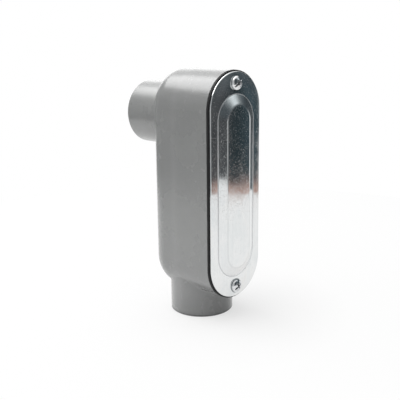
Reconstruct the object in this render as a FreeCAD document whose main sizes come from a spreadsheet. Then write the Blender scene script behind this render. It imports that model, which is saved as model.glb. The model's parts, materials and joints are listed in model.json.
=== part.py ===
import FreeCAD, Part
import math
import os
import re

import Sketcher
from FreeCAD import Rotation, Vector

# Conduit body, type LB, 1 inch trade size, for threaded rigid conduit.
#
# Frame: +Z is up, the cover faces -Y and the rear hub points to +Y. The origin is the centre of
# the lower hub's mouth, which is also the face that the piece stands on. The XZ plane holds the
# lower hub's axis, and it is the plane where the two halves of the casting die part.

SIZES = [
    # Hubs, cast with a wall round the conduit thread
    ("thread_bore", 33.2, "Diameter at the roots of the 1 inch conduit thread"),
    ("hub_wall", 4.2, "Wall of both hubs round the thread"),
    ("hub_fillet", 1.5, "Fillet where a hub grows out of the housing"),
    ("hub_edge", 0.6, "Chamfer of the hub's outer edge at its mouth"),
    ("mouth_chamfer", 0.5, "Lead-in chamfer of each threaded bore"),
    ("thread_ledge", 3.1, "Step in from the thread to the smooth bushing behind it"),
    ("throat_round", 1.5, "Rounding of the bushing where the wires pass it"),
    ("lower_hub_length", 14.25, "Lower hub's mouth up to the bottom of the housing"),
    ("lower_bushing", 3.25, "Length of the bushing in the lower hub"),
    ("rear_hub_length", 22.2, "Outside of the back wall back to the rear hub's mouth"),
    ("rear_bushing", 5.0, "Length of the bushing in the rear hub"),
    ("rear_hub_drop", 8.75, "Side of the rear hub up to the top of the housing"),
    # Housing, a die casting
    ("body_side", 3.1, "Side of the lower hub out to the side of the housing"),
    ("body_front", 7.2, "Side of the lower hub forward to the front face"),
    ("body_back", 4.2, "Side of the lower hub back to the outside of the back wall"),
    ("body_length", 145.7, "Housing length at its front face"),
    ("wall", 3.0, "Wall thickness"),
    ("floor_wall", 5.5, "Wall at the bottom end, above the lower hub"),
    ("back_round", 14.0, "Radius round the back edge"),
    ("draft_angle", 0.5, "Draft of the die-cast sides, degrees"),
    # Cover screws, no. 8-32, and their bosses
    ("screw_inset", 7.85, "End of the housing in to each cover screw"),
    ("screw_diameter", 4.16, "Outside diameter of the cover screw"),
    ("screw_length", 12.7, "Length of the cover screw under its head"),
    ("screw_point", 0.5, "Chamfer at the end of the cover screw"),
    ("head_diameter", 8.6, "Diameter of the screw head"),
    ("head_height", 2.9, "Height of the screw head"),
    ("head_rim", 1.3, "Height of the straight rim of the head"),
    ("slot_width", 1.1, "Width of the driver slot"),
    ("slot_depth", 1.2, "Depth of the driver slot"),
    ("cross_span", 4.4, "Span of the cross recess"),
    ("cross_depth", 2.0, "Depth of the cross recess"),
    ("boss_wall", 2.92, "Wall of the boss round the screw"),
    ("screw_run", 0.95, "End of the screw on to the bottom of its tapped hole"),
    ("tapped_clearance", 0.08, "Tapped hole's diameter over the screw's"),
    ("hole_clearance", 0.7, "Cover and gasket hole's diameter over the screw's"),
    # Gasket
    ("gasket_thickness", 1.45, "Thickness of the gasket, pressed"),
    ("gasket_inset", 0.1, "Housing edge in to the gasket's edge"),
    ("gasket_lip", 0.6, "Inside of the gasket in past the housing's wall"),
    ("gasket_bridge", 2.0, "Screw boss in to the inner end of the gasket"),
    # Cover, a stamping with a raised panel
    ("cover_inset", 0.85, "Housing edge in to the cover's edge"),
    ("cover_thickness", 1.2, "Sheet thickness of the cover"),
    ("cover_edge_round", 0.6, "Rolled-over front edge of the cover"),
    ("rim_width", 6.45, "Side edge of the cover in to the crease of the raised panel"),
    ("panel_gap", 2.4, "Screw head in to the crease at the end of the raised panel"),
    ("panel_height", 2.7, "Height of the raised panel"),
    ("panel_slope", 23.5, "Slope of the ramp round the panel, degrees"),
    ("crease_round", 0.6, "Radius in the crease at the foot of the ramp"),
    ("shoulder_round", 5.0, "Radius over the shoulder of the panel"),
]

# What follows from the sizes. Depths run back from the front face and heights up from the origin.
DERIVED = [
    ("hub_diameter", "thread_bore + 2 * hub_wall", "Outside diameter of both hubs"),
    ("throat_bore", "thread_bore - 2 * thread_ledge", "Diameter of both bushings"),
    ("body_width", "hub_diameter + 2 * body_side", "Housing width at its front face"),
    ("hub_axis_depth", "body_front + hub_diameter / 2", "Depth of the lower hub's axis"),
    ("body_depth", "hub_axis_depth + hub_diameter / 2 + body_back", "Depth of the back wall's outside"),
    ("rear_mouth_depth", "body_depth + rear_hub_length", "Depth of the rear hub's mouth"),
    ("body_top", "lower_hub_length + body_length", "Height of the housing's top"),
    ("upper_centre", "body_top - body_width / 2", "Height of the centre of the upper round end"),
    ("lower_centre", "lower_hub_length + body_width / 2", "Height of the centre of the lower round end"),
    ("rear_axis", "body_top - rear_hub_drop - hub_diameter / 2", "Height of the rear hub's axis"),
    ("lower_thread", "lower_hub_length + floor_wall - lower_bushing", "Depth of the lower thread"),
    ("rear_thread", "rear_hub_length + wall - rear_bushing", "Depth of the rear thread"),
    ("upper_screw", "body_top - screw_inset", "Height of the upper screw"),
    ("lower_screw", "lower_hub_length + screw_inset", "Height of the lower screw"),
    ("boss_width", "screw_diameter + 2 * boss_wall", "Width of the screw bosses"),
    ("gasket_face", "hub_axis_depth + gasket_thickness", "Parting plane forward to the gasket's face"),
    ("cover_face", "gasket_face + cover_thickness", "Parting plane forward to the rim of the cover"),
    ("tapped_depth", "screw_length + hub_axis_depth - cover_face + screw_run", "Depth of the tapped holes"),
    ("panel_width", "body_width - 2 * cover_inset - 2 * rim_width", "Width of the panel at its crease"),
    ("panel_end", "screw_inset + head_diameter / 2 + panel_gap", "End of the housing in to the panel"),
]
NAMES = {name for name, _, _ in SIZES + DERIVED}

# Turn of each screw's slot from level, as the screws happened to stop
SLOT_TURNS = {"upper": 38.0, "lower": 30.0}

doc = FreeCAD.newDocument("ConduitBody")
sheet = doc.addObject("Spreadsheet::Sheet", "Sizes")
DERIVED_CELLS = [(name, f"={formula}", note) for name, formula, note in DERIVED]
for row, (name, value, note) in enumerate(SIZES + DERIVED_CELLS, start=1):
    sheet.set(f"A{row}", note)
    sheet.set(f"B{row}", str(value))
    sheet.setAlias(f"B{row}", name)
doc.recompute()


def size(name):
    return float(sheet.get(name))


def bind(thing, prop, formula):
    """Tie a property to the sheet. The formula names the sheet's sizes by their aliases."""
    named = re.sub(r"[a-z_]+", lambda word: f"Sizes.{word[0]}" if word[0] in NAMES else word[0], formula)
    thing.setExpression(prop, named)


# ---------------------------------------------------------------------------
# Sketches. Seen from the front, sketch x is X and sketch y is Z.


def new_body(name):
    body = doc.addObject("PartDesign::Body", name)
    body.Label = name
    return body


def sketch_on(body, name, role, offset="0"):
    """A sketch on one of the body's origin planes, moved off it by the offset (to -Y on XZ_Plane)."""
    plane = next(feature for feature in body.Origin.OriginFeatures if feature.Role == role)
    sketch = body.newObject("Sketcher::SketchObject", name)
    sketch.AttachmentSupport = [(plane, "")]
    sketch.MapMode = "FlatFace"
    bind(sketch, "AttachmentOffset.Base.z", offset)
    return sketch


def relate(sketch, *constraint):
    return sketch.addConstraint(Sketcher.Constraint(*constraint))


def measure(sketch, name, formula, *constraint):
    """A named dimension of the sketch, tied to the sheet."""
    index = relate(sketch, *constraint)
    sketch.renameConstraint(index, name)
    bind(sketch, f"Constraints.{name}", formula)


def add_line(sketch, start, end):
    return sketch.addGeometry(Part.LineSegment(Vector(*start, 0), Vector(*end, 0)), False)


def add_arc(sketch, height, radius, start, sweep=math.pi):
    """An arc centred on the sketch's upright axis."""
    circle = Part.Circle(Vector(0, height, 0), Vector(0, 0, 1), radius)
    return sketch.addGeometry(Part.ArcOfCircle(circle, start, start + sweep), False)


def add_circle(sketch, name, diameter, height=None):
    """A circle at a height on the sketch's upright axis, or round the origin."""
    circle = sketch.addGeometry(Part.Circle(Vector(0, 10, 0), Vector(0, 0, 1), 5), False)
    if height:
        relate(sketch, "PointOnObject", circle, 3, -2)
        measure(sketch, f"{name}Height", height, "DistanceY", -1, 1, circle, 3, 10)
    else:
        relate(sketch, "Coincident", circle, 3, -1, 1)
    measure(sketch, f"{name}Diameter", diameter, "Diameter", circle, 10)


def add_racetrack(sketch, name, radius, upper, lower):
    """Two half rounds joined by straight sides. Upper and lower are the heights of their centres."""
    top, bottom = add_arc(sketch, 60, 10, 0), add_arc(sketch, 30, 10, math.pi)
    right, left = add_line(sketch, (10, 60), (10, 30)), add_line(sketch, (-10, 60), (-10, 30))
    joins = ((top, 1, right, 1), (top, 2, left, 1), (bottom, 2, right, 2), (bottom, 1, left, 2))
    for join in joins:
        relate(sketch, "Tangent", *join)
    relate(sketch, "Equal", top, bottom)
    relate(sketch, "PointOnObject", top, 3, -2)
    relate(sketch, "PointOnObject", bottom, 3, -2)
    measure(sketch, f"{name}Radius", radius, "Radius", top, 10)
    measure(sketch, f"{name}Upper", upper, "DistanceY", -1, 1, top, 3, 60)
    measure(sketch, f"{name}Lower", lower, "DistanceY", -1, 1, bottom, 3, 30)


def add_boss(sketch, side, height, reach):
    """A screw boss from the front: half round towards the chamber and straight into the end wall.

    Side is 1 for the upper end wall and -1 for the lower one.
    """
    inner, outer = (60, 70) if side > 0 else (30, 20)
    arc = add_arc(sketch, inner, 5, math.pi if side > 0 else 0)
    first = add_line(sketch, (-5 * side, inner), (-5 * side, outer))
    cross = add_line(sketch, (-5 * side, outer), (5 * side, outer))
    second = add_line(sketch, (5 * side, outer), (5 * side, inner))
    relate(sketch, "Tangent", arc, 1, first, 1)
    relate(sketch, "Tangent", second, 2, arc, 2)
    relate(sketch, "Coincident", first, 2, cross, 1)
    relate(sketch, "Coincident", cross, 2, second, 1)
    relate(sketch, "Horizontal", cross)
    relate(sketch, "Vertical", first)
    relate(sketch, "PointOnObject", arc, 3, -2)
    measure(sketch, "ScrewHeight", height, "DistanceY", -1, 1, arc, 3, inner)
    measure(sketch, "BossRadius", "boss_width / 2", "Radius", arc, 5)
    measure(sketch, "BossReach", reach, "DistanceY", -1, 1, first, 2, outer)


def add_rectangle(sketch, name, width, height):
    """A rectangle centred on the origin."""
    corners = [(-4, -1), (4, -1), (4, 1), (-4, 1)]
    bottom, right, top, left = [add_line(sketch, corners[n], corners[(n + 1) % 4]) for n in range(4)]
    for line, following in ((bottom, right), (right, top), (top, left), (left, bottom)):
        relate(sketch, "Coincident", line, 2, following, 1)
    for line in (bottom, top):
        relate(sketch, "Horizontal", line)
    for line in (right, left):
        relate(sketch, "Vertical", line)
    relate(sketch, "Symmetric", bottom, 1, top, 1, -1, 1)
    measure(sketch, f"{name}Width", width, "DistanceX", bottom, 1, bottom, 2, 8)
    measure(sketch, f"{name}Height", height, "DistanceY", right, 1, right, 2, 2)


# ---------------------------------------------------------------------------
# Features


def finish(body, made, settings):
    """Set up a feature and make it the body's tip. A text setting is a formula on the sheet."""
    for prop, value in settings.items():
        if isinstance(value, str):
            bind(made, prop, value)
        else:
            setattr(made, prop, value)
    doc.recompute()
    body.Tip = made
    return made


def feature(body, kind, name, profile, **settings):
    made = body.newObject(f"PartDesign::{kind}", name)
    made.Profile = profile
    return finish(body, made, settings)


def soften(body, kind, name, base, chosen, **settings):
    """Fillet or chamfer the edges of the base that the test chooses."""
    edges = [f"Edge{n}" for n, edge in enumerate(base.Shape.Edges, start=1) if chosen(edge)]
    made = body.newObject(f"PartDesign::{kind}", name)
    made.Base = (base, edges)
    return finish(body, made, settings)


def in_plane(edge, y):
    """True for an edge that lies in the plane across the housing at that y."""
    return abs(edge.BoundBox.YMin - y) < 0.01 and abs(edge.BoundBox.YMax - y) < 0.01


def goes_round(edge, radius, centre, axis):
    """True for an edge that runs round a cylinder of that radius about the axis."""
    span = edge.LastParameter - edge.FirstParameter
    points = [edge.valueAt(edge.FirstParameter + span * step / 8) - centre for step in range(9)]
    spokes = [point - axis * point.dot(axis) for point in points]
    return all(abs(spoke.Length - radius) < 0.02 for spoke in spokes) and any(
        not spoke.isEqual(spokes[0], 0.02) for spoke in spokes
    )


# ---------------------------------------------------------------------------
# Housing. The outside of the casting is a racetrack box with two round hubs, and the same
# operations at smaller sizes make the cores that leave the chamber and the bores in it.

UP, BACK = Vector(0, 0, 1), Vector(0, 1, 0)
LOWER_HUB = Vector(0, 0, 0)
REAR_HUB = Vector(0, 0, size("rear_axis"))

front_y = -size("hub_axis_depth")
back_y = front_y + size("body_depth")
floor_y = back_y - size("wall")
rear_mouth_y = front_y + size("rear_mouth_depth")


def add_hubs(body, diameter):
    """A round pad up from the lower mouth and one in from the rear mouth, both into the chamber."""
    circle = sketch_on(body, "LowerHubCircle", "XY_Plane")
    add_circle(circle, "Hub", diameter)
    feature(body, "Pad", "LowerHub", circle, Length="lower_hub_length + body_width / 3")
    circle = sketch_on(body, "RearHubCircle", "XZ_Plane")
    add_circle(circle, "Hub", diameter, "rear_axis")
    return feature(body, "Pad", "RearHub", circle, Length="rear_mouth_depth - hub_axis_depth", Reversed=True)


def where_hubs_meet(radius):
    """The test for the edges where cylinders of that radius about both hub axes meet the box."""

    def chosen(edge):
        lower = goes_round(edge, radius, LOWER_HUB, UP) and edge.BoundBox.ZMin > 1
        rear = goes_round(edge, radius, REAR_HUB, BACK) and edge.BoundBox.YMax < rear_mouth_y - 1
        return lower or rear

    return chosen


casting = new_body("body_casting")

# The box tapers from the parting plane to the front face and to the back, and shows the
# parting line as the widest line round its sides
for name, reach, reverse in (
    ("Front", "hub_axis_depth", False),
    ("Back", "body_depth - hub_axis_depth", True),
):
    outline = sketch_on(casting, f"{name}Outline", "XZ_Plane")
    radius = "body_width / 2 + hub_axis_depth * tan(draft_angle)"
    add_racetrack(outline, "Parting", radius, "upper_centre", "lower_centre")
    box = feature(
        casting, "Pad", f"{name}Half", outline, Length=reach, TaperAngle="-draft_angle", Reversed=reverse
    )
box = soften(casting, "Fillet", "BackRound", box, lambda edge: in_plane(edge, back_y), Radius="back_round")
hubs = add_hubs(casting, "hub_diameter")
soften(casting, "Fillet", "HubFillets", hubs, where_hubs_meet(size("hub_diameter") / 2), Radius="hub_fillet")

cores = new_body("casting_cores")
outline = sketch_on(cores, "ChamberOutline", "XZ_Plane", "hub_axis_depth")
add_racetrack(outline, "Chamber", "body_width / 2 - wall", "upper_centre", "lower_centre + floor_wall - wall")
chamber = feature(
    cores, "Pad", "Chamber", outline, Length="body_depth - wall", TaperAngle="-draft_angle", Reversed=True
)
soften(
    cores, "Fillet", "ChamberRound", chamber, lambda edge: in_plane(edge, floor_y), Radius="back_round - wall"
)

# The upper boss runs down the end wall to the floor, the lower one stops short of the bushing
boss = sketch_on(cores, "UpperBossOutline", "XZ_Plane", "hub_axis_depth")
add_boss(boss, 1, "upper_screw", "body_top + wall")
feature(cores, "Pocket", "UpperBoss", boss, Length="body_depth")
throats = add_hubs(cores, "throat_bore")
lips = where_hubs_meet(size("throat_bore") / 2)
soften(cores, "Fillet", "BushingLips", throats, lips, Radius="throat_round")
boss = sketch_on(cores, "LowerBossOutline", "XZ_Plane", "hub_axis_depth")
add_boss(boss, -1, "lower_screw", "lower_hub_length - wall")
feature(cores, "Pocket", "LowerBoss", boss, Length="hub_axis_depth - throat_bore / 2 - throat_round")

circle = sketch_on(cores, "LowerThreadCircle", "XY_Plane")
add_circle(circle, "Thread", "thread_bore")
feature(cores, "Pad", "LowerThread", circle, Length="lower_thread")
circle = sketch_on(cores, "RearThreadCircle", "XZ_Plane", "hub_axis_depth - rear_mouth_depth")
add_circle(circle, "Thread", "thread_bore", "rear_axis")
feature(cores, "Pad", "RearThread", circle, Length="rear_thread")

cored = casting.newObject("PartDesign::Boolean", "Cored")
cored.setObjects([cores])
cored.Type = "Cut"
finish(casting, cored, {})


def at_mouth(radius):
    """The test for the circles of that radius at the mouths of both hubs."""

    def chosen(edge):
        lower = goes_round(edge, radius, LOWER_HUB, UP) and edge.BoundBox.ZMax < 0.01
        rear = goes_round(edge, radius, REAR_HUB, BACK) and in_plane(edge, rear_mouth_y)
        return lower or rear

    return chosen


mouths = soften(casting, "Chamfer", "LeadIns", cored, at_mouth(size("thread_bore") / 2), Size="mouth_chamfer")
soften(casting, "Chamfer", "HubEdges", mouths, at_mouth(size("hub_diameter") / 2), Size="hub_edge")

holes = sketch_on(casting, "TappedHoleCentres", "XZ_Plane", "hub_axis_depth")
for side in SLOT_TURNS:
    add_circle(holes, side.title(), "screw_diameter", f"{side}_screw")
feature(
    casting, "Hole", "TappedHoles", holes, Depth="tapped_depth", Diameter="screw_diameter + tapped_clearance"
)


# ---------------------------------------------------------------------------
# Gasket: a flat ring, widened at both ends for the screws

gasket = new_body("gasket")
outline = sketch_on(gasket, "GasketOutline", "XZ_Plane", "hub_axis_depth")
add_racetrack(outline, "Outer", "body_width / 2 - gasket_inset", "upper_centre", "lower_centre")
radius = "body_width / 2 - wall - gasket_lip"
add_racetrack(
    outline, "Inner", radius,
    f"upper_screw - boss_width / 2 - gasket_bridge - ({radius})",
    f"lower_screw + boss_width / 2 + gasket_bridge + ({radius})",
)
for side in SLOT_TURNS:
    add_circle(outline, side.title(), "screw_diameter + hole_clearance", f"{side}_screw")
feature(gasket, "Pad", "Ring", outline, Length="gasket_thickness")


# ---------------------------------------------------------------------------
# Cover: a flat rim with its front edge rolled over, and a panel raised out of the same sheet

PANEL_CENTRES = [
    "body_top - panel_end - panel_width / 2",
    "lower_hub_length + panel_end + panel_width / 2",
]

sheet_back_y = front_y - size("gasket_thickness")
sheet_front_y = sheet_back_y - size("cover_thickness")

cover = new_body("cover")
outline = sketch_on(cover, "CoverOutline", "XZ_Plane", "gasket_face")
add_racetrack(outline, "Rim", "body_width / 2 - cover_inset", "upper_centre", "lower_centre")
blank = feature(cover, "Pad", "Blank", outline, Length="cover_thickness")
soften(
    cover, "Fillet", "RolledEdge", blank, lambda edge: in_plane(edge, sheet_front_y), Radius="cover_edge_round"
)

# The hollow behind the panel is the same form, moved back by the sheet's thickness
outline = sketch_on(cover, "PanelOutline", "XZ_Plane", "cover_face")
add_racetrack(outline, "Panel", "panel_width / 2", *PANEL_CENTRES)
feature(cover, "Pad", "Panel", outline, Length="panel_height", TaperAngle="panel_slope - 90")
outline = sketch_on(cover, "HollowOutline", "XZ_Plane", "gasket_face")
add_racetrack(outline, "Hollow", "panel_width / 2 - cover_thickness * tan(panel_slope / 2)", *PANEL_CENTRES)
panel = feature(
    cover, "Pocket", "Hollow", outline,
    Length="panel_height", TaperAngle="panel_slope - 90", Reversed=True,
)


def panel_edges(y):
    """The test for the edges of the raised panel or its hollow in the plane at that y."""
    reach = size("panel_width") / 2 + 0.1
    return lambda edge: in_plane(edge, y) and edge.BoundBox.XMax < reach and edge.BoundBox.XMin > -reach


for name, y, radius in (
    ("Crease", sheet_front_y, "crease_round"),
    ("Shoulder", sheet_front_y - size("panel_height"), "shoulder_round"),
    ("HollowCrease", sheet_back_y, "crease_round + cover_thickness"),
    ("HollowShoulder", sheet_back_y - size("panel_height"), "shoulder_round - cover_thickness"),
):
    panel = soften(cover, "Fillet", name, panel, panel_edges(y), Radius=radius)

holes = sketch_on(cover, "ScrewHoleCentres", "XZ_Plane", "gasket_face")
for side in SLOT_TURNS:
    add_circle(holes, side.title(), "screw_diameter + hole_clearance", f"{side}_screw")
feature(cover, "Pocket", "ScrewHoles", holes, Length="2 * cover_thickness", Reversed=True)


# ---------------------------------------------------------------------------
# Cover screws: pan head with a slot and a cross recess. Each is made with the underside of
# its head at the origin and its shank along +Y, then set in its hole and turned.


def add_screw(side):
    screw = new_body(f"{side}_cover_screw")
    half = sketch_on(screw, "HalfSection", "YZ_Plane")
    shank, point, radius = size("screw_length"), size("screw_point"), size("screw_diameter") / 2
    top, rim, reach = size("head_height"), size("head_rim"), size("head_diameter") / 2
    corners = [
        (-top, 0), (shank, 0), (shank, radius - point), (shank - point, radius),
        (0, radius), (0, reach), (-rim, reach),
    ]
    axis, end, chamfer, side_line, seat, edge = [
        add_line(half, *pair) for pair in zip(corners, corners[1:])
    ]
    crown_radius = (reach**2 + (top - rim) ** 2) / (2 * (top - rim))
    circle = Part.Circle(Vector(crown_radius - top, 0, 0), Vector(0, 0, 1), crown_radius)
    crown_start = math.pi - math.asin(reach / crown_radius)
    crown = half.addGeometry(Part.ArcOfCircle(circle, crown_start, math.pi), False)
    outline = (axis, end, chamfer, side_line, seat, edge, crown)
    for line, following in zip(outline, outline[1:]):
        relate(half, "Coincident", line, 2, following, 1)
    relate(half, "Coincident", crown, 2, axis, 1)
    relate(half, "PointOnObject", crown, 3, -1)
    relate(half, "PointOnObject", axis, 1, -1)
    relate(half, "PointOnObject", axis, 2, -1)
    relate(half, "Vertical", end)
    relate(half, "Horizontal", side_line)
    relate(half, "Vertical", seat)
    relate(half, "Horizontal", edge)
    relate(half, "PointOnObject", seat, 1, -2)
    measure(half, "Shank", "screw_length", "DistanceX", -1, 1, axis, 2, shank)
    measure(half, "ShankRadius", "screw_diameter / 2", "DistanceY", -1, 1, seat, 1, radius)
    measure(half, "PointLength", "screw_point", "DistanceX", chamfer, 2, chamfer, 1, point)
    measure(half, "PointHeight", "screw_point", "DistanceY", chamfer, 1, chamfer, 2, point)
    measure(half, "HeadRadius", "head_diameter / 2", "DistanceY", -1, 1, seat, 2, reach)
    measure(half, "Rim", "head_rim", "DistanceX", edge, 2, edge, 1, rim)
    measure(half, "Head", "head_height", "DistanceX", axis, 1, -1, 1, top)
    feature(screw, "Revolution", "Turned", half, ReferenceAxis=(half, ["H_Axis"]), Angle=360.0)
    # The slot runs right across the head, and one arm of the cross lies along it
    for name, length, width, depth in (
        ("Slot", "2 * head_diameter", "slot_width", "slot_depth"),
        ("Cross", "cross_span", "slot_width", "cross_depth"),
        ("Wing", "slot_width", "cross_span", "cross_depth"),
    ):
        recess = sketch_on(screw, f"{name}Outline", "XZ_Plane", "head_height")
        add_rectangle(recess, name, length, width)
        feature(screw, "Pocket", name, recess, Length=depth)
    screw.Placement.Rotation = Rotation(Vector(0, -1, 0), SLOT_TURNS[side])
    bind(screw, "Placement.Base.y", "-cover_face")
    bind(screw, "Placement.Base.z", f"{side}_screw")
    return screw


screws = [add_screw(side) for side in SLOT_TURNS]


# ---------------------------------------------------------------------------
# Check every object, then write one file for each piece

doc.recompute()
for thing in doc.Objects:
    if {"Invalid", "Error"} & set(thing.State):
        raise RuntimeError(f"{thing.Label} did not build")
pieces = [casting, gasket, cover, *screws]
for piece in pieces:
    if piece.Shape.isNull() or not piece.Shape.isValid() or len(piece.Shape.Solids) != 1:
        raise RuntimeError(f"{piece.Label} is not one valid solid")
os.makedirs("parts", exist_ok=True)
for piece in pieces:
    piece.Shape.exportStep(f"parts/{piece.Label}.step")
    box = piece.Shape.BoundBox
    print(
        f"{piece.Label}: {piece.Shape.Volume:.0f} mm3, X {box.XMin:.2f} to {box.XMax:.2f}, "
        f"Y {box.YMin:.2f} to {box.YMax:.2f}, Z {box.ZMin:.2f} to {box.ZMax:.2f}"
    )
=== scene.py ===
"""Looks of the conduit body: materials, threads, screws, floor, light and camera.

Lengths are in metres in the row frame. The object stands on its lower hub at the origin with its
cover facing -Y and its rear hub pointing +Y.
"""
import json
import math

import bmesh
import bpy
from mathutils import Matrix, Vector


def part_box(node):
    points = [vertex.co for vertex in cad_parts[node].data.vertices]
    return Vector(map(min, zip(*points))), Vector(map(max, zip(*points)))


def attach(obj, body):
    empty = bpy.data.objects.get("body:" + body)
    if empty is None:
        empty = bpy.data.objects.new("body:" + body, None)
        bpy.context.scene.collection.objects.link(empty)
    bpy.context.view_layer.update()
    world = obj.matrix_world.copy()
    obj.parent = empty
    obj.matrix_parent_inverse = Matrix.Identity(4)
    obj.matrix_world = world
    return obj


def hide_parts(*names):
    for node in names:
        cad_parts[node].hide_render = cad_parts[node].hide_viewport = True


MM = 0.001

# The cover and its screws, as the CAD has them.
COVER_MIDDLE = 87.1 * MM  # the height of the cover's middle
COVER_HALF = 72.0 * MM  # half the cover's height
COVER_FACE = -30.65 * MM  # the flat part of its front, along Y
PANEL_RADIUS = 16.6 * MM  # the round ends of its raised panel
PANEL_INSET = 13.7 * MM  # from the cover's ends to the panel's
PANEL_HALF_SIDE = 41.7 * MM  # half a straight side of the panel
SCREW_OFFSET = 65.0 * MM  # from the cover's middle to a screw
SCREW_CROWN = 2.9 * MM  # from the underside of a screw's head to its top
BEFORE_SCREWS = -34.0 * MM  # just in front of the screws' heads, along Y

RAMP_LENGTH = 50.0  # what a ramp of steps covers, in millimetres
THREAD_STEPS = (0.0, 0.05, 0.5, 0.55)  # parts of a turn: crest from, crest to, root from, root to
SHARP_TURN = 0.55  # faces that meet at more than this angle, in radians, have a hard edge
MERGED = 1e-7  # vertices nearer than this become one

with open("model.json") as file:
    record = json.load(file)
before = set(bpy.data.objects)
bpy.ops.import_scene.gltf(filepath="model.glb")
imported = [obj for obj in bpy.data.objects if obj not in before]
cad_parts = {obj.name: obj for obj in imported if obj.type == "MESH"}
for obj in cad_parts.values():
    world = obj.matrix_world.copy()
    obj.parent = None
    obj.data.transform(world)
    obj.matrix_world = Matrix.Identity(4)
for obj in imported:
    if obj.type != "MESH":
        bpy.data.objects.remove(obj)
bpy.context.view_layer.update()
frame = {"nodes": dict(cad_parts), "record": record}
scene = bpy.context.scene


# ---------------------------------------------------------------- shader graphs


def colour_of(value):
    """A colour with its alpha, from a grey level or three numbers. A node's output is left."""
    if isinstance(value, (int, float)):
        value = (value, value, value)
    return (*value, 1.0) if isinstance(value, tuple) else value


class Graph:
    """The nodes of a material or a world, with short ways to add those that feed its surface."""

    def __init__(self, owner, output="ShaderNodeOutputMaterial"):
        self.owner = owner
        owner.use_nodes = True
        self.tree = owner.node_tree
        self.tree.nodes.clear()
        self.output = self.node(output)
        self.places = self.node("ShaderNodeTexCoord").outputs
        self.place = self.places["Object"]

    def feed(self, socket, value):
        if isinstance(value, bpy.types.NodeSocket):
            self.tree.links.new(value, socket)
        else:
            socket.default_value = value

    def set(self, node, **sockets):
        """Gives each named socket of a node a number, a colour or another node's output."""
        for name, value in sockets.items():
            self.feed(node.inputs[name.replace("_", " ")], value)

    def node(self, kind, **sockets):
        made = self.tree.nodes.new(kind)
        self.set(made, **sockets)
        return made

    def show(self, shader):
        self.set(self.output, Surface=shader.outputs[0])

    def stretched(self, scale):
        """The object's own coordinates, multiplied by scale on each axis."""
        return self.node("ShaderNodeMapping", Vector=self.place, Scale=scale).outputs[0]

    def noise(self, scale, detail=3.0, rough=0.55, place=None, distortion=0.0):
        made = self.node("ShaderNodeTexNoise", Vector=place or self.place, Scale=scale,
                         Detail=detail, Roughness=rough, Distortion=distortion)
        return made.outputs["Fac"]

    def cells(self, scale):
        """Distance from the nearest of many scattered points."""
        made = self.node("ShaderNodeTexVoronoi", Vector=self.place, Scale=scale)
        return made.outputs["Distance"]

    def ramp(self, value, *stops):
        """A value or colour from stops of (position, value) or (position, colour)."""
        made = self.node("ShaderNodeValToRGB", Fac=value)
        elements = made.color_ramp.elements
        while len(elements) < len(stops):
            elements.new(0.5)
        for element, (position, colour) in zip(elements, stops):
            element.position = position
            element.color = colour_of(colour)
        return made.outputs["Color"]

    def mix(self, amount, first, second, blend="MIX"):
        """A blend of two colours."""
        made = self.tree.nodes.new("ShaderNodeMix")
        made.data_type = "RGBA"
        made.blend_type = blend
        self.feed(made.inputs["Factor"], amount)
        for name, value in (("A", first), ("B", second)):
            socket = [s for s in made.inputs if s.name == name and s.type == "RGBA"][0]
            self.feed(socket, colour_of(value))
        return [s for s in made.outputs if s.type == "RGBA"][0]

    def overlap(self, first, second):
        """Where two masks are both there."""
        return self.mix(1.0, first, second, "MULTIPLY")

    def weaker(self, amount, mask):
        """A mask at a part of its strength."""
        return self.mix(amount, 0.0, mask)

    def maths(self, operation, first, second=0.0):
        made = self.tree.nodes.new("ShaderNodeMath")
        made.operation = operation
        self.feed(made.inputs[0], first)
        self.feed(made.inputs[1], second)
        return made.outputs[0]

    def map_range(self, value, lowest, highest, new_lowest, new_highest):
        made = self.node("ShaderNodeMapRange", Value=value, From_Min=lowest, From_Max=highest,
                         To_Min=new_lowest, To_Max=new_highest)
        return made.outputs["Result"]

    def axis(self, name, place=None):
        return self.node("ShaderNodeSeparateXYZ", Vector=place or self.place).outputs[name]

    def distance_from(self, point):
        made = self.node("ShaderNodeVectorMath", Vector=self.place)
        made.operation = "DISTANCE"
        made.inputs[1].default_value = point
        return made.outputs["Value"]

    def millimetres(self, metres):
        return self.maths("MULTIPLY", metres, 1 / MM)

    def past_middle(self, half):
        """How far a point lies above or below a stretch of the cover's middle, in millimetres."""
        height = self.millimetres(self.maths("SUBTRACT", self.axis("Z"), COVER_MIDDLE))
        return self.maths("SUBTRACT", self.maths("ABSOLUTE", height), half / MM)

    def from_middle_line(self, up):
        """A distance in millimetres, seen from the front, of which the upward part is given.

        Its other part is how far the point lies beside the cover's upright middle line.
        """
        side = self.millimetres(self.axis("X"))
        up_squared = self.maths("MULTIPLY", up, up)
        side_squared = self.maths("MULTIPLY", side, side)
        return self.maths("SQRT", self.maths("ADD", up_squared, side_squared))

    def from_screws(self):
        """Millimetres from the axis of the nearer cover screw."""
        return self.from_middle_line(self.past_middle(SCREW_OFFSET))

    def steps(self, distance, *stops):
        """A ramp along a distance in millimetres."""
        stops = [(place / RAMP_LENGTH, value) for place, value in stops]
        return self.ramp(self.maths("DIVIDE", distance, RAMP_LENGTH), *stops)

    def bump(self, height, distance, normal=None):
        made = self.node("ShaderNodeBump", Height=height, Distance=distance)
        if normal:
            self.feed(made.inputs["Normal"], normal)
        return made.outputs[0]

    def seen_directly(self):
        """1 for what the camera, a mirror or glass sees, and 0 for what lights a dull surface."""
        path = self.node("ShaderNodeLightPath").outputs
        mirrored = self.maths("MAXIMUM", path["Is Camera Ray"], path["Is Glossy Ray"])
        return self.maths("MAXIMUM", mirrored, path["Is Transmission Ray"])

    def show_mixed(self, amount, first, second):
        """Gives the surface a blend of two shaders."""
        made = self.node("ShaderNodeMixShader", Fac=amount)
        self.feed(made.inputs[1], first.outputs[0])
        self.feed(made.inputs[2], second.outputs[0])
        self.show(made)


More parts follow.
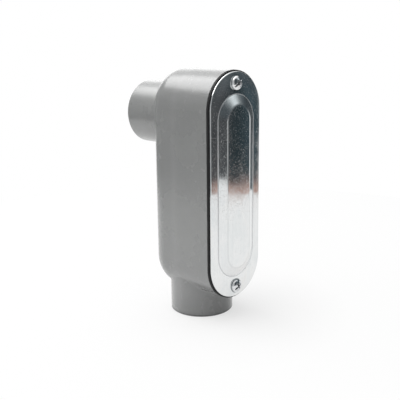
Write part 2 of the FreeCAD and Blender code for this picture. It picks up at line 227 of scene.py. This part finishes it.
class Finish(Graph):
    """A material with one Principled shader. Its constants are what is the same all over it."""

    def __init__(self, name, **constants):
        super().__init__(bpy.data.materials.new(name))
        self.shader = self.node("ShaderNodeBsdfPrincipled", **constants)
        self.show(self.shader)


def enamel():
    """Grey baked enamel on die-cast aluminium: pits, rubs, a parting line ridge with a painted
    highlight, and painted shade darkening the lower hub towards its foot.
    """
    g = Finish("grey_enamel", Metallic=0.0, IOR=1.5, Specular_IOR_Level=0.5, Coat_Weight=0.8,
               Coat_Roughness=0.27)
    cloud = g.noise(28.0, 4.0, 0.6)
    grain = g.noise(2600.0, 2.0)
    colour = g.ramp(cloud, (0.30, (0.214, 0.219, 0.217)), (0.70, (0.240, 0.245, 0.242)))
    fine = g.ramp(grain, (0.35, (0.155, 0.157, 0.157)), (0.65, (0.27, 0.272, 0.27)))
    colour = g.mix(0.30, colour, fine)
    pits = g.ramp(g.cells(330.0), (0.05, 1.0), (0.09, 0.0))
    rare = g.ramp(g.noise(90.0, 1.0), (0.60, 0.0), (0.66, 1.0))
    specks = g.overlap(pits, rare)
    colour = g.mix(g.weaker(0.55, specks), colour, 0.07)
    drawn_out = g.stretched((260.0, 260.0, 90.0))
    rubs = g.ramp(g.noise(1.0, 5.0, 0.7, drawn_out), (0.62, 0.0), (0.95, 1.0))
    # A small ridge along the parting line, with a lighter band painted along it as a painted
    # highlight.
    parting_ridge_and_highlight = g.ramp(g.maths("ABSOLUTE", g.axis("Y")), (0.4 * MM, 0.20), (1.4 * MM, 0.0))
    colour = g.mix(parting_ridge_and_highlight, colour, 0.30)
    # Painted shade: the enamel is painted darker towards the foot, most in the last millimetre,
    # fading out by 16 mm up.
    up = g.millimetres(g.axis("Z"))
    foot = g.steps(up, (0.9, 0.90), (1.5, 0.34), (3.5, 0.15), (16.0, 0.0))
    colour = g.mix(foot, colour, (0.035, 0.04, 0.042))
    rough = g.mix(rubs, g.ramp(cloud, (0.3, 0.24), (0.7, 0.30)), 0.38)
    skin = g.bump(g.noise(900.0, 2.0, 0.5), 0.014 * MM)
    skin = g.bump(g.noise(70.0, 2.0, 0.5), 0.04 * MM, skin)
    skin = g.bump(parting_ridge_and_highlight, 0.2 * MM, skin)
    skin = g.bump(specks, -0.03 * MM, skin)
    g.set(g.shader, Base_Color=colour, Roughness=rough, Normal=skin)
    return g.owner


def rubber():
    """Black moulded rubber with a dull bloom."""
    g = Finish("black_rubber", Metallic=0.0, IOR=1.5, Specular_IOR_Level=0.35)
    bloom = g.noise(160.0, 5.0, 0.65)
    grain = g.noise(3200.0, 2.0)
    colour = g.ramp(bloom, (0.35, (0.004, 0.0045, 0.005)), (0.72, (0.011, 0.012, 0.013)))
    colour = g.mix(0.35, colour, g.ramp(grain, (0.4, 0.004), (0.7, 0.022)))
    rough = g.ramp(bloom, (0.3, 0.55), (0.7, 0.78))
    skin = g.bump(grain, 0.015 * MM)
    skin = g.bump(g.noise(420.0, 3.0), 0.04 * MM, skin)
    g.set(g.shader, Base_Color=colour, Roughness=rough, Normal=skin)
    return g.owner


def sheet_metal():
    """Bright rolled aluminium sheet: long streaks, faint waves, smudges, dust and fine specks.

    The press has left it dull on the ends of the raised panel and in the crease at the panel's
    foot.
    Painted shade darkens thin lines at the panel's foot and shoulder, and a thin ring round the
    screws' heads.
    """
    g = Finish("mill_sheet", Metallic=1.0)
    streaks = g.noise(1.0, 4.0, 0.6, g.stretched((520.0, 520.0, 16.0)))
    hairs = g.noise(1.0, 2.0, 0.5, g.stretched((3600.0, 3600.0, 45.0)))
    smudge = g.noise(46.0, 5.0, 0.66, distortion=0.6)
    colour = g.ramp(smudge, (0.30, (0.71, 0.74, 0.745)), (0.52, (0.80, 0.812, 0.81)),
                    (0.75, (0.79, 0.78, 0.76)))
    colour = g.mix(0.16, colour, g.ramp(streaks, (0.35, (0.74, 0.75, 0.77)), (0.62, 0.90)))
    pits = g.ramp(g.cells(520.0), (0.06, 1.0), (0.12, 0.0))
    rare = g.ramp(g.noise(120.0, 2.0), (0.55, 0.0), (0.64, 1.0))
    specks = g.overlap(pits, rare)
    colour = g.mix(g.weaker(0.6, specks), colour, (0.30, 0.31, 0.33))
    rough = g.mix(0.6, g.ramp(streaks, (0.3, 0.04), (0.7, 0.12)),
                  g.ramp(smudge, (0.38, 0.04), (0.72, 0.24)))
    dust = g.ramp(g.noise(1750.0, 2.0, 0.7), (0.54, 0.0), (0.67, 1.0))
    rough = g.mix(g.mix(0.6, specks, dust), rough, 0.40)

    past = g.past_middle(PANEL_HALF_SIDE)
    reach = g.from_middle_line(g.maths("MAXIMUM", past, 0.0))
    slope = g.steps(reach, (9.0, 0.0), (11.0, 1.0), (15.5, 1.0), (16.25, 0.0))
    drawn = g.overlap(slope, g.steps(past, (1.0, 0.0), (6.0, 1.0)))
    rough = g.mix(g.weaker(0.75, drawn), rough, 0.27)
    # The crease at the panel's foot is dull, and painted shade darkens it as a thin grey line.
    crease = g.steps(reach, (16.0, 0.0), (16.5, 1.0), (16.8, 1.0), (17.2, 0.0))
    rough = g.mix(crease, rough, 0.50)
    colour = g.mix(g.weaker(0.8, crease), colour, (0.66, 0.67, 0.68))
    # Painted shade: a faint darker line painted along the panel's shoulder.
    shoulder = g.steps(reach, (9.5, 0.0), (10.2, 1.0), (10.7, 1.0), (11.4, 0.0))
    colour = g.mix(g.weaker(0.26, shoulder), colour, (0.55, 0.565, 0.57))
    # Painted shade: a thin dark ring painted on the cover just outside each screw head.
    painted_crevice_shade = g.steps(g.from_screws(), (4.5, 1.0), (5.1, 0.0))
    colour = g.mix(g.weaker(0.75, painted_crevice_shade), colour, (0.16, 0.18, 0.19))

    wave = g.bump(g.noise(34.0, 2.0, 0.5), 0.12 * MM)
    wave = g.bump(streaks, 0.010 * MM, wave)
    wave = g.bump(hairs, 0.003 * MM, wave)
    wave = g.bump(specks, -0.02 * MM, wave)
    g.set(g.shader, Base_Color=colour, Roughness=rough, Normal=wave)
    return g.owner


def plated_steel():
    """Zinc-plated screw steel, a little dulled, with fine turning marks and painted shade deep in
    its recess.
    """
    g = Finish("plated_steel", Metallic=1.0)
    stain = g.noise(620.0, 4.0, 0.6)
    grain = g.noise(5200.0, 2.0)
    colour = g.ramp(stain, (0.32, (0.60, 0.61, 0.63)), (0.62, (0.84, 0.85, 0.86)))
    colour = g.mix(0.2, colour, g.ramp(grain, (0.35, 0.55), (0.65, 0.88)))
    # Painted shade: the steel is painted dark inside the recess, from about a millimetre behind
    # the heads' front.
    inside = g.steps(g.from_screws(), (2.4, 1.0), (2.9, 0.0))
    depth = g.millimetres(g.maths("SUBTRACT", g.axis("Y"), BEFORE_SCREWS))
    painted_crevice_shade = g.overlap(inside, g.steps(depth, (0.8, 0.0), (1.5, 1.0)))
    colour = g.mix(g.weaker(0.72, painted_crevice_shade), colour, (0.10, 0.11, 0.12))
    rough = g.ramp(stain, (0.3, 0.20), (0.7, 0.08))
    marks = g.bump(stain, 0.02 * MM, g.bump(grain, 0.006 * MM))
    g.set(g.shader, Base_Color=colour, Roughness=rough, Normal=marks)
    return g.owner


def cut_thread():
    """Freshly cut aluminium with thin grey overspray in patches."""
    g = Finish("cut_thread", IOR=1.5)
    chatter = g.noise(1800.0, 3.0)
    spray = g.ramp(g.noise(240.0, 4.0, 0.65), (0.42, 0.0), (0.58, 1.0))
    colour = g.ramp(chatter, (0.35, (0.50, 0.51, 0.52)), (0.7, (0.66, 0.66, 0.67)))
    colour = g.mix(spray, colour, (0.215, 0.217, 0.216))
    g.set(g.shader, Base_Color=colour, Metallic=g.mix(spray, 0.95, 0.0),
          Roughness=g.mix(spray, 0.30, 0.42), Normal=g.bump(chatter, 0.01 * MM))
    return g.owner


# ---------------------------------------------------------------- pieces


def plain_object(bm, name):
    mesh = bpy.data.meshes.new(name)
    bm.to_mesh(mesh)
    bm.free()
    made = bpy.data.objects.new(name, mesh)
    scene.collection.objects.link(made)
    return made


def object_from(bm, name, material):
    """Makes a shaded object of a bmesh, with a hard edge wherever its faces turn sharply."""
    bmesh.ops.remove_doubles(bm, verts=bm.verts, dist=MERGED)
    bmesh.ops.dissolve_degenerate(bm, edges=bm.edges, dist=MERGED)
    bmesh.ops.recalc_face_normals(bm, faces=bm.faces)
    for face in bm.faces:
        face.smooth = True
    for edge in bm.edges:
        edge.smooth = len(edge.link_faces) != 2 or edge.calc_face_angle() < SHARP_TURN
    made = plain_object(bm, name)
    made.data.materials.append(material)
    return made


def helix(bm, start, end, pitch, radius, sides):
    """A right-handed threaded wall about +Z. Returns the loops of vertices at its start and end.

    radius(z, ridge) gives its radius, where ridge is 0 in the root and 1 on the crest.
    """
    _, crest_end, root_start, root_end = THREAD_STEPS

    def ridge(turns):
        part = turns % 1.0
        if part < crest_end:
            return 1.0
        if part < root_start:
            return (root_start - part) / (root_start - crest_end)
        if part < root_end:
            return 0.0
        return (part - root_end) / (1.0 - root_end)

    first = math.floor(start / pitch) - 2
    last = math.ceil(end / pitch) + 1
    rows = [(turn + step) * pitch for turn in range(first, last) for step in THREAD_STEPS]
    columns = []
    for i in range(sides):
        angle = 2 * math.pi * i / sides
        lead = pitch * i / sides
        column = []
        for row in rows:
            z = min(max(row + lead, start), end)
            r = radius(z, ridge((z - lead) / pitch))
            column.append(bm.verts.new((r * math.cos(angle), r * math.sin(angle), z)))
        columns.append(column)
    top = len(rows) - 1
    for i in range(sides):
        here = columns[i]
        closing = i == sides - 1
        beside = columns[0] if closing else columns[i + 1]
        shift = len(THREAD_STEPS) if closing else 0
        for j in range(top):
            low, high = min(j + shift, top), min(j + 1 + shift, top)
            corners = [here[j], beside[low], beside[high], here[j + 1]]
            corners = [v for k, v in enumerate(corners) if v not in corners[:k]]
            bm.faces.new(corners)
    return [c[0] for c in columns], [c[-1] for c in columns]


def join_loops(bm, first, second):
    count = len(first)
    for i in range(count):
        j = (i + 1) % count
        bm.faces.new((first[i], first[j], second[j], second[i]))


def ring(bm, radius, z, sides):
    turns = [2 * math.pi * i / sides for i in range(sides)]
    return [bm.verts.new((radius * math.cos(a), radius * math.sin(a), z)) for a in turns]


def to_axis(origin, inward, side):
    """The matrix that carries +Z to inward and +X to side, both unit vectors, at origin."""
    inward, side = Vector(inward), Vector(side)
    turn = Matrix((side, inward.cross(side), inward)).transposed()
    return Matrix.Translation(Vector(origin)) @ turn.to_4x4()


def pipe_thread(name, origin, inward, side, depth, material):
    """Tapered pipe thread cut in a hub's mouth, inside the bore of the casting."""
    pitch, bore, taper = 2.209 * MM, 16.56 * MM, 1 / 32
    height, chamfer = 0.8 * pitch, 0.6 * MM
    mouth_depth, wall, sides = 0.35 * MM, 16.59 * MM, 96

    def radius(z, ridge):
        root = bore - z * taper
        lead_in = bore + chamfer - z
        return min(bore, max(root - height * ridge, lead_in))

    bm = bmesh.new()
    mouth, throat = helix(bm, mouth_depth, depth, pitch, radius, sides)
    near, far = ring(bm, wall, mouth_depth, sides), ring(bm, wall, depth, sides)
    join_loops(bm, mouth, near)
    join_loops(bm, near, far)
    join_loops(bm, far, throat)
    bm.transform(to_axis(origin, inward, side))
    made = object_from(bm, name, material)
    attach(made, "root")
    return made


def turned(bm, profile, sides):
    """A closed body turned about Z from (radius, z) pairs that start and end on the axis."""
    loops = [ring(bm, r, z, sides) for r, z in profile[1:-1]]
    for low, high in zip(loops, loops[1:]):
        join_loops(bm, low, high)
    for (_, z), loop in ((profile[0], loops[0]), (profile[-1], loops[-1])):
        tip = bm.verts.new((0.0, 0.0, z))
        for i in range(sides):
            bm.faces.new((loop[i], loop[(i + 1) % sides], tip))
    bmesh.ops.recalc_face_normals(bm, faces=bm.faces)


def arc(centre, radius, start, end, steps):
    """Points of an arc in the (radius, z) plane, between two angles in degrees."""
    turns = [math.radians(start + (end - start) * i / steps) for i in range(steps + 1)]
    return [(centre[0] + radius * math.cos(a), centre[1] + radius * math.sin(a)) for a in turns]


def wedge(name, top, foot, high, low, turn=0.0):
    """A tapered bar from a (length, width) at height high to another at low, turned about Z."""
    bm = bmesh.new()
    corners = []
    for (length, width), z in ((top, high), (foot, low)):
        corners.append([bm.verts.new((sx * length / 2, sy * width / 2, z))
                        for sx, sy in ((-1, -1), (1, -1), (1, 1), (-1, 1))])
    upper, under = corners
    join_loops(bm, upper, under)
    bm.faces.new(upper)
    bm.faces.new(under)
    bmesh.ops.recalc_face_normals(bm, faces=bm.faces)
    bmesh.ops.rotate(bm, verts=bm.verts, matrix=Matrix.Rotation(turn, 3, "Z"))
    return plain_object(bm, name)


def cut_away(blank, cutters):
    """Takes the cutters' space out of a blank, one after another."""
    for cutter in cutters:
        cut = blank.modifiers.new("cut", "BOOLEAN")
        cut.operation = "DIFFERENCE"
        cut.object = cutter
        cut.solver = "EXACT"


def shape_of(blank, cutters):
    """A bmesh of the blank with its modifiers applied. The blank and the cutters are removed."""
    bm = bmesh.new()
    bm.from_mesh(blank.evaluated_get(bpy.context.evaluated_depsgraph_get()).to_mesh())
    for used in [blank, *cutters]:
        bpy.data.objects.remove(used)
    return bm


def screw_head(name):
    """A pan head with a combined slot and cross recess, from its underside at z = 0."""
    radius, crown = 4.3 * MM, SCREW_CROWN
    chamfer, upright = 0.12 * MM, 0.78 * MM
    shoulder, shoulder_turn = 1.1 * MM, 58.0
    profile = [(0.0, 0.0), (radius - chamfer, 0.0), (radius, chamfer), (radius, upright)]
    profile += arc((radius - shoulder, upright), shoulder, 0.0, shoulder_turn, 7)[1:]
    reach, level = profile[-1]
    rings = 8
    for i in range(1, rings + 1):
        part = 1 - i / rings
        profile.append((reach * part, level + (crown - level) * (1 - part ** 2)))
    bm = bmesh.new()
    turned(bm, profile, 64)
    head = plain_object(bm, name + "_blank")

    slot_top, slot_floor = 3.2 * MM, crown - 1.15 * MM
    cross_top, cross_floor = 3.1 * MM, crown - 2.0 * MM
    cutters = [wedge(name + "_slot", (10 * MM, 1.2 * MM), (10 * MM, 1.0 * MM),
                     slot_top, slot_floor)]
    for turn in (0.0, math.pi / 2):
        cutters.append(wedge(name + "_cross", (5.0 * MM, 1.25 * MM), (1.5 * MM, 0.7 * MM),
                             cross_top, cross_floor, turn))
    cutters.append(wedge(name + "_core", (2.3 * MM, 2.3 * MM), (1.2 * MM, 1.2 * MM),
                         cross_top, cross_floor, math.pi / 4))
    cut_away(head, cutters)
    round_over = head.modifiers.new("round", "BEVEL")
    round_over.width = 0.09 * MM
    round_over.segments = 2
    round_over.limit_method = "ANGLE"
    round_over.angle_limit = math.radians(32)
    return shape_of(head, cutters)


def cover_screw(name, node, origin, turn, material):
    """A pan-head screw with a cut thread, in place of a CAD node.

    Its own +Z runs from the head's underside up through its crown.
    """
    bm = screw_head(name)
    crest, thread_height, pitch = 2.08 * MM, 0.45 * MM, 0.794 * MM
    plain, runout = 0.5 * MM, 0.6 * MM
    point_starts, tip, inside_head = 11.9 * MM, -12.7 * MM, 0.1 * MM

    def radius_at(z, ridge):
        depth = -z
        point = crest - max(0.0, depth - point_starts)
        cut = min(1.0, max(0.0, (depth - plain) / runout))
        return min(crest - thread_height * (1 - ridge) * cut, point)

    start, end = helix(bm, tip, inside_head, pitch, radius_at, 48)
    bm.faces.new(start)
    bm.faces.new(end)
    bm.transform(to_axis(origin, (0, -1, 0), (math.cos(turn), 0, math.sin(turn))))
    made = object_from(bm, name, material)
    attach(made, "root")
    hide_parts(node)
    return made


def racetrack(bm, radius, centres, y):
    """A loop of vertices round two half circles and two straight sides, seen from the front."""
    low, high = centres
    sides, straight = 64, 24
    loop = []
    for i in range(sides + 1):
        angle = math.pi * i / sides
        loop.append((radius * math.cos(angle), high + radius * math.sin(angle)))
    loop += [(-radius, high + (low - high) * i / straight) for i in range(1, straight)]
    for i in range(sides + 1):
        angle = math.pi * (1 + i / sides)
        loop.append((radius * math.cos(angle), low + radius * math.sin(angle)))
    loop += [(radius, low + (high - low) * i / straight) for i in range(1, straight)]
    return [bm.verts.new((x, y, z)) for x, z in loop]


def raised(radius, height, crease, shoulder, slope):
    """(radius, height) pairs of a raised panel, from its foot inwards: crease, ramp, shoulder."""
    points = []
    slack = math.tan(slope / 2)
    crease_steps, shoulder_steps = 6, 12
    for i in range(crease_steps + 1):
        angle = slope * i / crease_steps
        points.append((radius + crease * (slack - math.sin(angle)),
                       crease * (1 - math.cos(angle))))
    top = radius - height / math.tan(slope)
    for i in range(shoulder_steps + 1):
        angle = slope * (1 - i / shoulder_steps)
        points.append((top - shoulder * (slack - math.sin(angle)),
                       height - shoulder * (1 - math.cos(angle))))
    return points


def stamped_cover(name, node, material):
    """The cover as one stamping with rounded bends, in place of the CAD node of the same form."""
    low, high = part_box(node)
    half, back = high.x, high.y
    thickness, lift, slope = 1.2 * MM, 2.7 * MM, math.radians(23.5)
    roll, roll_steps = 0.6 * MM, 5
    hole, reach = 2.43 * MM, 10 * MM
    face = back - thickness
    rim = (low.z + half, high.z - half)
    panel = (low.z + PANEL_INSET + PANEL_RADIUS, high.z - PANEL_INSET - PANEL_RADIUS)
    bm = bmesh.new()
    front = [racetrack(bm, half, rim, back)]
    for i in range(roll_steps + 1):
        angle = math.pi / 2 * i / roll_steps
        inset, rise = roll * (1 - math.cos(angle)), roll * (1 - math.sin(angle))
        front.append(racetrack(bm, half - inset, rim, face + rise))
    for radius, height in raised(PANEL_RADIUS, lift, 1.0 * MM, 5.0 * MM, slope):
        front.append(racetrack(bm, radius, panel, face - height))
    hollow = PANEL_RADIUS - thickness * math.tan(slope / 2)
    behind = [front[0]]
    for radius, height in raised(hollow, lift, 2.2 * MM, 3.8 * MM, slope):
        behind.append(racetrack(bm, radius, panel, back - height))
    for side in (front, behind):
        for outer, inner in zip(side, side[1:]):
            join_loops(bm, outer, inner)
        bm.faces.new(side[-1])
    bmesh.ops.recalc_face_normals(bm, faces=bm.faces)
    blank = plain_object(bm, name + "_blank")
    cutters = []
    for screw in ("upper_cover_screw", "lower_cover_screw"):
        start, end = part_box(screw)
        bm = bmesh.new()
        turned(bm, [(0.0, -reach), (hole, -reach), (hole, reach), (0.0, reach)], 48)
        bm.transform(to_axis((0.0, face, (start.z + end.z) / 2), (0, 1, 0), (1, 0, 0)))
        cutters.append(plain_object(bm, name + "_hole"))
    cut_away(blank, cutters)
    made = object_from(shape_of(blank, cutters), name, material)
    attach(made, "root")
    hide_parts(node)
    return made


# ---------------------------------------------------------------- the object

for node, material in (("body_casting", enamel()), ("gasket", rubber())):
    shown = frame["nodes"][node]
    shown.data.materials.clear()
    shown.data.materials.append(material)

stamped_cover("stamped_cover", "cover", sheet_metal())

mounts = {m["name"]: m["pos_m"] for m in frame["record"]["mounts"]}
thread_finish = cut_thread()
for name, hub, inward, depth in (("lower_hub_thread", "lower_hub", (0, 0, 1), 16.4 * MM),
                                 ("rear_hub_thread", "rear_hub", (0, -1, 0), 19.9 * MM)):
    pipe_thread(name, mounts[hub], inward, (1, 0, 0), depth, thread_finish)

steel = plated_steel()
for node, turn in (("upper_cover_screw", 38.0), ("lower_cover_screw", 30.0)):
    low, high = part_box(node)
    underside = ((low.x + high.x) / 2, low.y + SCREW_CROWN, (low.z + high.z) / 2)
    cover_screw(node + "_detail", node, underside, math.radians(turn), steel)


# ---------------------------------------------------------------- floor, light and camera

scene.view_settings.view_transform = "Standard"


def stage_object(bm, name, material):
    made = plain_object(bm, name)
    made.data.materials.append(material)
    return made


def at_bearing(angle, reach, z):
    """A point at a bearing from straight ahead of the cover, towards +X."""
    return (reach * math.sin(angle), -reach * math.cos(angle), z)


def floor_material():
    """Pale paper with a painted white glow that the camera and reflections see, weaker close to
    the foot, where more of the lit paper and its shadow show.
    """
    g = Graph(bpy.data.materials.new("white_floor"))
    paper = g.node("ShaderNodeBsdfDiffuse", Color=colour_of(0.76))
    # The white emission is a painted glow, seen only by the camera, reflections and glass.
    white = g.node("ShaderNodeEmission", Color=colour_of(1.0), Strength=1.0)
    close, far, close_whiteness, far_whiteness = 0.02, 0.10, 0.66, 0.93
    whiteness = g.map_range(g.distance_from((0.0, 0.0, 0.0)), close, far,
                            close_whiteness, far_whiteness)
    g.show_mixed(g.maths("MULTIPLY", g.seen_directly(), whiteness), paper, white)
    return g.owner


def lay_floor():
    """A disc under the object, with a tongue towards its front."""
    sides, disc, tongue, tongue_spread = 144, 0.385, 0.10, 18
    bm = bmesh.new()
    edge = []
    for i in range(sides):
        angle = math.radians(360 / sides * i)
        bearing = math.degrees(math.atan2(math.sin(angle), math.cos(angle)))
        reach = disc + tongue * math.exp(-(bearing / tongue_spread) ** 2)
        edge.append(bm.verts.new(at_bearing(angle, reach, 0.0)))
    bm.faces.new(edge)
    bmesh.ops.recalc_face_normals(bm, faces=bm.faces)
    stage_object(bm, "floor", floor_material())


WALL_RADIUS, WALL_FOOT, WALL_TOP = 0.62, -0.30, 0.60
WALL_START, WALL_END = -190.0, 104.0  # bearings, in degrees


def wall_material():
    """What the studio wall shows in a reflection, by its bearing and its height."""
    g = Graph(bpy.data.materials.new("studio_wall"))
    turn = g.maths("ARCTAN2", g.axis("X"), g.maths("MULTIPLY", g.axis("Y"), -1.0))
    turn = g.maths("ADD", g.maths("DIVIDE", turn, 2 * math.pi), 0.5)
    height = g.maths("SUBTRACT", g.axis("Z"), WALL_FOOT)

    def around(*stops):
        """A ramp round the wall, from stops of (bearing in degrees, value or colour)."""
        return g.ramp(turn, *((bearing / 360 + 0.5, value) for bearing, value in stops))

    grey, dark, blue = (0.085, 0.09, 0.095), (0.020, 0.033, 0.038), (0.048, 0.072, 0.085)
    bright = (0.62, 0.63, 0.64)
    calm = around((-100, grey), (-75, bright), (-22, bright), (-8, grey), (43.6, grey),
                  (45.2, dark), (47.6, dark), (49.4, blue), (76, blue), (100, grey))
    # From ahead of the cover round to its right, the wall is dark above and has two strips below.
    in_front = around((-22, 0.0), (-6, 1.0))
    upper = g.overlap(in_front, g.ramp(height, (0.40, 0.0), (0.52, 1.0)))
    tone = g.mix(upper, calm, (0.06, 0.075, 0.085))
    strips = around((6, 0.0), (12, 0.36), (24, 0.36), (32, 0.0),
                    (58, 0.0), (61, 1.0), (80, 1.0), (84, 0.0))
    strips = g.overlap(strips, g.ramp(height, (0.38, 1.0), (0.46, 0.0)))
    tone = g.mix(strips, tone, (0.95, 0.97, 0.98))
    # A warm band lies lower than the floor, and a soft cool glint high at the front's right.
    band = around((20, 0.0), (28, 1.0), (64, 1.0), (72, 0.0))
    band = g.overlap(band, g.ramp(height, (0.256, 1.0), (0.268, 0.0)))
    tone = g.mix(band, tone, (0.50, 0.33, 0.28))
    from_glint = g.distance_from((0.402, -0.476, 0.46))
    glint = g.ramp(from_glint, (0.03, 1.0), (0.08, 0.88), (0.14, 0.50), (0.20, 0.20),
                   (0.27, 0.05), (0.34, 0.0))
    tone = g.mix(glint, tone, (0.88, 0.96, 0.99))
    haze = g.ramp(g.noise(9.0, 4.0, 0.6), (0.35, 0.55), (0.70, 1.5))
    g.show(g.node("ShaderNodeEmission", Color=g.overlap(tone, haze)))
    return g.owner


def raise_wall():
    """A studio wall that only reflections see, behind the object and round its left and front.

    It ends on the right. The gap from there to its start, the way the camera looks, lets
    reflections see the light backdrop.
    """
    steps = 104
    bm = bmesh.new()
    foot, top = [], []
    for i in range(steps + 1):
        angle = math.radians(WALL_START + (WALL_END - WALL_START) * i / steps)
        foot.append(bm.verts.new(at_bearing(angle, WALL_RADIUS, WALL_FOOT)))
        top.append(bm.verts.new(at_bearing(angle, WALL_RADIUS, WALL_TOP)))
    for i in range(steps):
        bm.faces.new((foot[i], foot[i + 1], top[i + 1], top[i]))
    wall = stage_object(bm, "studio_wall", wall_material())
    wall.visible_camera = False
    wall.visible_diffuse = False
    wall.visible_shadow = False
    wall.visible_transmission = False


def studio_world():
    """White wherever it is seen. Its fill light on dull surfaces is stronger from behind."""
    world = bpy.data.worlds.new("studio")
    g = Graph(world, "ShaderNodeOutputWorld")
    seen = g.node("ShaderNodeBackground", Color=colour_of(1.0), Strength=1.0)
    from_ahead, from_behind = 0.20, 0.70
    strength = g.map_range(g.axis("Y", g.places["Generated"]), -1.0, 1.0, from_ahead, from_behind)
    fill = g.node("ShaderNodeBackground", Color=colour_of(1.0), Strength=strength)
    g.show_mixed(g.seen_directly(), fill, seen)
    return world


def softbox(name, place, aim, size, watts):
    data = bpy.data.lights.new(name, "AREA")
    data.shape = "RECTANGLE"
    data.size, data.size_y = size
    data.energy = watts
    made = bpy.data.objects.new(name, data)
    made.location = place
    made.rotation_mode = "QUATERNION"
    made.rotation_quaternion = (Vector(aim) - Vector(place)).to_track_quat("-Z", "Y")
    scene.collection.objects.link(made)
    return made


def set_camera():
    """A camera to the left of the cover and a little above it, aimed behind the cover's middle.

    Its distances are counted in half cover heights.
    """
    azimuth, elevation, roll = math.radians(46.11), math.radians(13.43), -0.0111
    distance, left, down = 6.1787, 0.0966, 0.1538
    aim = Vector((0.0, 0.3 * COVER_HALF + COVER_FACE, COVER_MIDDLE))
    back = Vector((-math.sin(azimuth) * math.cos(elevation),
                   -math.cos(azimuth) * math.cos(elevation), math.sin(elevation)))
    level = Vector((math.cos(azimuth), -math.sin(azimuth), 0.0))
    upright = back.cross(level)
    right = level * math.cos(roll) + upright * math.sin(roll)
    up = upright * math.cos(roll) - level * math.sin(roll)
    place = aim + COVER_HALF * (back * distance - right * left - up * down)
    data = bpy.data.cameras.new("camera")
    data.sensor_width = 36.0
    data.lens = 61.696
    data.clip_start, data.clip_end = 0.01, 10.0
    camera = bpy.data.objects.new("camera", data)
    scene.collection.objects.link(camera)
    scene.camera = camera
    camera.rotation_mode = "QUATERNION"
    turn = Matrix((right, up, back)).transposed()
    camera.matrix_world = Matrix.Translation(place) @ turn.to_4x4()


lay_floor()
raise_wall()
scene.world = studio_world()
softbox("back_softbox", (-0.34, 0.50, 0.86), (0.0, 0.0, 0.10), (1.20, 0.95), 10.8)
softbox("overhead_softbox", (0.10, 0.12, 1.25), (0.0, 0.0, 0.10), (0.90, 0.90), 3.5)
rim = softbox("rim_softbox", (0.60, 0.62, 0.40), (0.0, 0.0, 0.12), (0.80, 0.34), 0.55)
rim.visible_camera = False
softbox("left_softbox", (-0.90, 0.10, 0.32), (0.0, 0.0, 0.10), (0.80, 0.60), 0.7)
set_camera()
